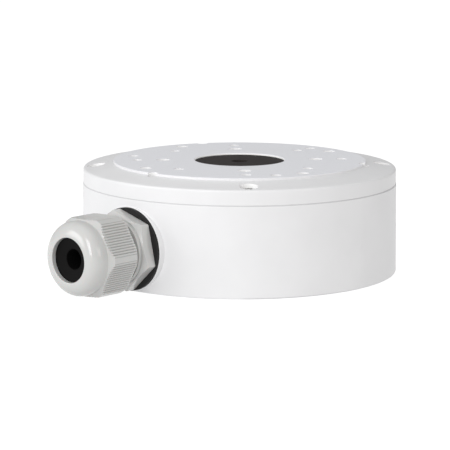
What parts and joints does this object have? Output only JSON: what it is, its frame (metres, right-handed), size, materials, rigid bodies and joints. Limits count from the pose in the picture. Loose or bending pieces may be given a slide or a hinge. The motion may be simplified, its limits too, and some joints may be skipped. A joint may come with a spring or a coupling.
{
  "type": "camera junction box",
  "caption": "Round white cast junction box with a screwed cover that seats a camera, a rubber-plugged centre hole and a nylon cable gland on its side.",
  "frame": {"origin": "centre of the wall face, on the box axis, in the plane that meets the wall", "axes": "+Z out of the wall towards the camera seat, the cable gland points along -Y"},
  "size_m": [0.1378, 0.1734, 0.0482],
  "materials": {
    "white_cast": "white powder coat on die-cast aluminium, satin",
    "pale_gasket": "pale grey silicone",
    "black_rubber": "matt black rubber",
    "grey_nylon": "light grey moulded nylon, satin",
    "clear_nylon": "natural nylon",
    "bright_screw": "bright stainless steel"
  },
  "bodies": {
    "housing": {"base_housing": "white_cast", "cover": "white_cast", "cover_gasket": "pale_gasket", "centre_grommet": "black_rubber", "rear_grommet": "black_rubber", "gland_body": "grey_nylon", "gland_washer": "black_rubber", "gland_locknut": "grey_nylon", "earth_screw": "bright_screw", "earth_lock_washer": "bright_screw", "cover_screw_1": "bright_screw", "screw_retainer_1": "clear_nylon", "cover_screw_2": "bright_screw", "screw_retainer_2": "clear_nylon", "cover_screw_3": "bright_screw", "screw_retainer_3": "clear_nylon", "cover_screw_4": "bright_screw", "screw_retainer_4": "clear_nylon"},
    "clamp_seal": {"gland_seal": "black_rubber"},
    "dome_nut": {"gland_dome_nut": "grey_nylon"}
  },
  "joints": [
    {"name": "gland_seal_slide", "type": "slide", "parent": "housing", "child": "clamp_seal", "axis": [0, -1, 0], "range_m": [0, 0.0075]},
    {"name": "gland_nut_turn", "type": "hinge", "parent": "clamp_seal", "child": "dome_nut", "pos_m": [0, -0.0929, 0.0179], "axis": [0, -1, 0], "range_deg": [0, 1800]}
  ],
  "couplings": [
    {"joint": "gland_seal_slide", "follows": "gland_nut_turn", "m_per_rad": 0.00023873}
  ]
}
